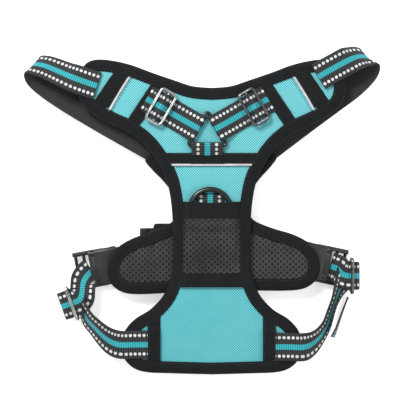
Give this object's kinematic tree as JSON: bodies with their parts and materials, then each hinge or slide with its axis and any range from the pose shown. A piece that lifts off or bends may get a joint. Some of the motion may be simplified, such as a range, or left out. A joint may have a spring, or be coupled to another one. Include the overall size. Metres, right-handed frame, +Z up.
{
  "type": "no pull dog harness",
  "caption": "Teal step-in no pull dog harness laid flat, with padded chest and back panels, webbing straps, sliders, side-release buckles and leash rings",
  "frame": {"origin": "on the surface the harness rests on, under the padded handle, on the midline", "axes": "+X to the right seen from above, +Y towards the neck, +Z up from the resting surface to the chest panel"},
  "size_m": [0.3187, 0.2928, 0.0333],
  "materials": {
    "teal_oxford": "matt woven polyester",
    "black_oxford": "matt woven polyester",
    "foam": "soft padding",
    "air_mesh": "knitted spacer mesh",
    "black_tape": "ribbed grosgrain",
    "webbing": "ribbed nylon webbing with a coloured stripe and reflective dots",
    "reflective": "silver reflective piping",
    "neoprene": "smooth laminated neoprene",
    "black_wire": "glossy black coated steel wire",
    "chrome": "bright plated wire",
    "gunmetal": "dark plated wire",
    "acetal": "moulded black acetal"
  },
  "bodies": {
    "harness": {"back_shell": "black_oxford", "back_foam": "foam", "back_lining": "air_mesh", "back_binding": "black_tape", "back_ring_tab": "webbing", "handle_left_end": "webbing", "handle_right_end": "webbing", "chest_lining": "air_mesh", "chest_foam": "foam", "chest_shell": "teal_oxford", "chest_binding": "black_tape", "cross_band": "black_tape", "cross_piping": "reflective", "left_outer_band": "black_tape", "right_outer_band": "black_tape", "left_inner_band": "black_tape", "right_inner_band": "black_tape", "left_arm_piping": "reflective", "right_arm_piping": "reflective", "left_corner_band": "black_tape", "right_corner_band": "black_tape", "pocket_mesh": "air_mesh", "pocket_elastic": "black_tape", "pocket_hem": "black_tape", "front_ring_tab": "webbing", "centre_strap": "webbing", "left_chest_strap": "webbing", "right_chest_strap": "webbing", "left_neck_strap": "webbing", "right_neck_strap": "webbing", "left_socket": "acetal", "right_socket": "acetal", "left_socket_tab": "webbing", "right_socket_tab": "webbing", "left_side_strap": "webbing", "right_side_strap": "webbing", "right_strap_return": "webbing"},
    "left_plug": {"left_plug": "acetal", "left_plug_strap": "webbing"},
    "left_front_latch": {"left_front_latch": "acetal"},
    "left_rear_latch": {"left_rear_latch": "acetal"},
    "left_side_slider": {"left_side_slider": "chrome"},
    "left_chest_slider": {"left_chest_slider": "chrome", "left_slider_wrap": "webbing"},
    "right_plug": {"right_plug": "acetal", "right_plug_strap": "webbing"},
    "right_front_latch": {"right_front_latch": "acetal"},
    "right_rear_latch": {"right_rear_latch": "acetal"},
    "right_side_slider": {"right_side_slider": "gunmetal"},
    "right_chest_slider": {"right_chest_slider": "gunmetal", "right_slider_wrap": "webbing"},
    "triangular_ring": {"triangular_ring": "black_wire"},
    "front_leash_ring": {"front_leash_ring": "black_wire"},
    "back_leash_ring": {"back_leash_ring": "gunmetal"},
    "handle": {"handle_grip": "neoprene", "handle_webbing": "webbing"}
  },
  "joints": [
    {"name": "left_buckle_release", "type": "slide", "parent": "harness", "child": "left_plug", "axis": [-0.9848, -0.1736, 0], "range_m": [0, 0.026]},
    {"name": "left_front_latch_squeeze", "type": "hinge", "parent": "left_plug", "child": "left_front_latch", "pos_m": [-0.10655, -0.01345, 0.0055], "axis": [0, 0, -1], "range_deg": [0, 7], "stiffness_Nm_per_rad": 0.02},
    {"name": "left_rear_latch_squeeze", "type": "hinge", "parent": "left_plug", "child": "left_rear_latch", "pos_m": [-0.10242, -0.03689, 0.0055], "axis": [0, 0, 1], "range_deg": [0, 7], "stiffness_Nm_per_rad": 0.02},
    {"name": "left_side_slider_move", "type": "slide", "parent": "left_plug", "child": "left_side_slider", "axis": [0.9397, 0.342, 0], "range_m": [-0.002, 0.0005]},
    {"name": "left_chest_slider_move", "type": "slide", "parent": "harness", "child": "left_chest_slider", "axis": [-0.866, 0.5, 0], "range_m": [-0.006, 0.006]},
    {"name": "right_buckle_release", "type": "slide", "parent": "harness", "child": "right_plug", "axis": [0.9781, -0.2079, 0], "range_m": [0, 0.026]},
    {"name": "right_front_latch_squeeze", "type": "hinge", "parent": "right_plug", "child": "right_front_latch", "pos_m": [0.10445, -0.01007, 0.0055], "axis": [0, 0, 1], "range_deg": [0, 7], "stiffness_Nm_per_rad": 0.02},
    {"name": "right_rear_latch_squeeze", "type": "hinge", "parent": "right_plug", "child": "right_rear_latch", "pos_m": [0.0995, -0.03335, 0.0055], "axis": [0, 0, -1], "range_deg": [0, 7], "stiffness_Nm_per_rad": 0.02},
    {"name": "right_side_slider_move", "type": "slide", "parent": "right_plug", "child": "right_side_slider", "axis": [1, 0, 0], "range_m": [-0.002, 0.001]},
    {"name": "right_chest_slider_move", "type": "slide", "parent": "harness", "child": "right_chest_slider", "axis": [0.866, 0.5, 0], "range_m": [-0.006, 0.006]},
    {"name": "triangular_ring_tilt", "type": "hinge", "parent": "harness", "child": "triangular_ring", "pos_m": [-0.0039, 0.0845, 0.02798], "axis": [1, 0, 0], "range_deg": [0, 15], "deforming": ["left_chest_strap", "right_chest_strap"]},
    {"name": "front_leash_ring_pull", "type": "slide", "parent": "harness", "child": "front_leash_ring", "axis": [0, 1, 0], "range_m": [0, 0.016], "deforming": ["front_ring_tab"]},
    {"name": "back_leash_ring_swing", "type": "hinge", "parent": "harness", "child": "back_leash_ring", "pos_m": [0, -0.0265, 0.0075], "axis": [1, 0, 0], "range_deg": [0, 100]},
    {"name": "handle_pull", "type": "slide", "parent": "harness", "child": "handle", "axis": [0, 0, -1], "range_m": [0, 0.014], "deforming": ["handle_left_end", "handle_right_end"]}
  ]
}
